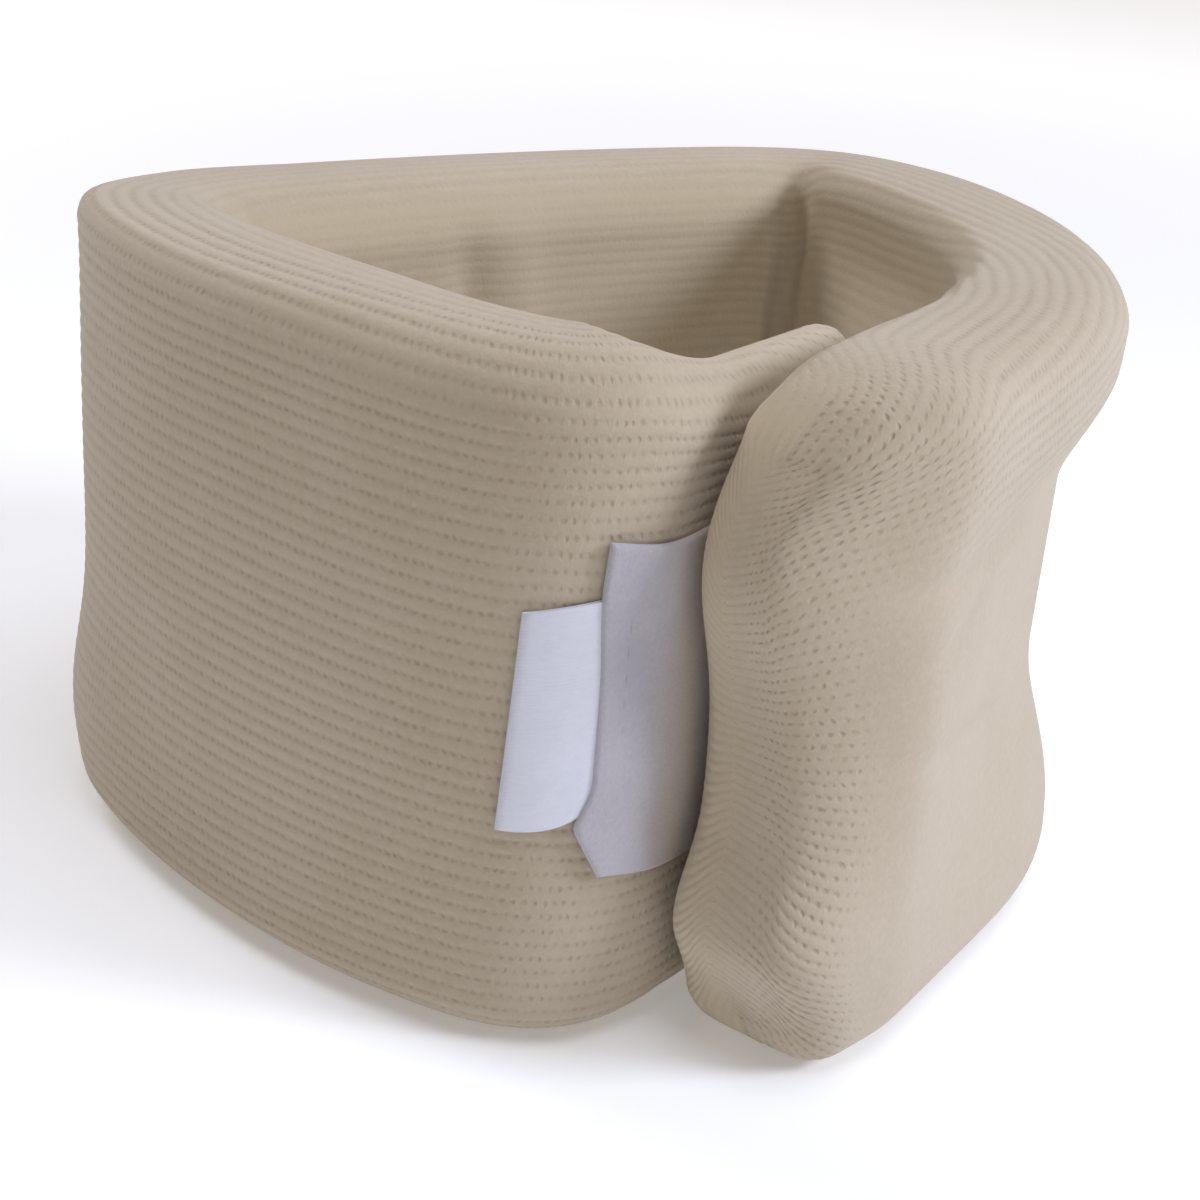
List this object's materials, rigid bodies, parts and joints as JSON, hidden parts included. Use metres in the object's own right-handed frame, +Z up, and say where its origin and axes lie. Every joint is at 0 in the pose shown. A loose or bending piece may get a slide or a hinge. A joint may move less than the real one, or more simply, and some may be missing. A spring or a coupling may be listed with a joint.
{
  "type": "soft cervical collar",
  "caption": "Soft foam neck collar in a ribbed knit cover: a thick padded band bent into a loop, closed by an overlapping hook-and-loop fastening.",
  "frame": {"origin": "on the surface that the collar stands on, under the middle of its bounding box", "axes": "+Z up along the wearer's neck; the overlapping closure faces -Y, the long unbroken wall faces +Y"},
  "size_m": [0.1456, 0.1476, 0.09],
  "materials": {
    "foam": "open-cell polyurethane foam, matt",
    "knit": "ribbed cotton stockinette, matt with a soft fuzz",
    "loop_tape": "brushed nylon loop, soft",
    "hook_tape": "nylon hook tape, slightly glossy",
    "label_tape": "white woven satin tape",
    "thread": "polyester sewing thread"
  },
  "bodies": {
    "front_section": {"foam_core_front": "foam", "cover_front": "knit"},
    "flap_end": {"foam_core_flap": "foam", "cover_flap": "knit", "hook_strip": "hook_tape", "hook_strip_stitching": "thread", "end_seam_flap": "knit"},
    "under_end": {"foam_core_under": "foam", "cover_under": "knit", "loop_strip": "loop_tape", "loop_strip_stitching": "thread", "label": "label_tape", "label_stitching": "thread", "end_seam_tongue": "knit"}
  },
  "joints": [
    {"name": "flap_opens", "type": "hinge", "parent": "front_section", "child": "flap_end", "pos_m": [0.06986, 0.02572, 0.045], "axis": [0, 0, 1], "range_deg": [0, 60]},
    {"name": "under_end_opens", "type": "hinge", "parent": "front_section", "child": "under_end", "pos_m": [-0.07248, -0.00106, 0.045], "axis": [0, 0, 1], "range_deg": [-30, 0]}
  ],
  "couplings": [
    {"joint": "under_end_opens", "follows": "flap_opens", "ratio": -0.5}
  ]
}
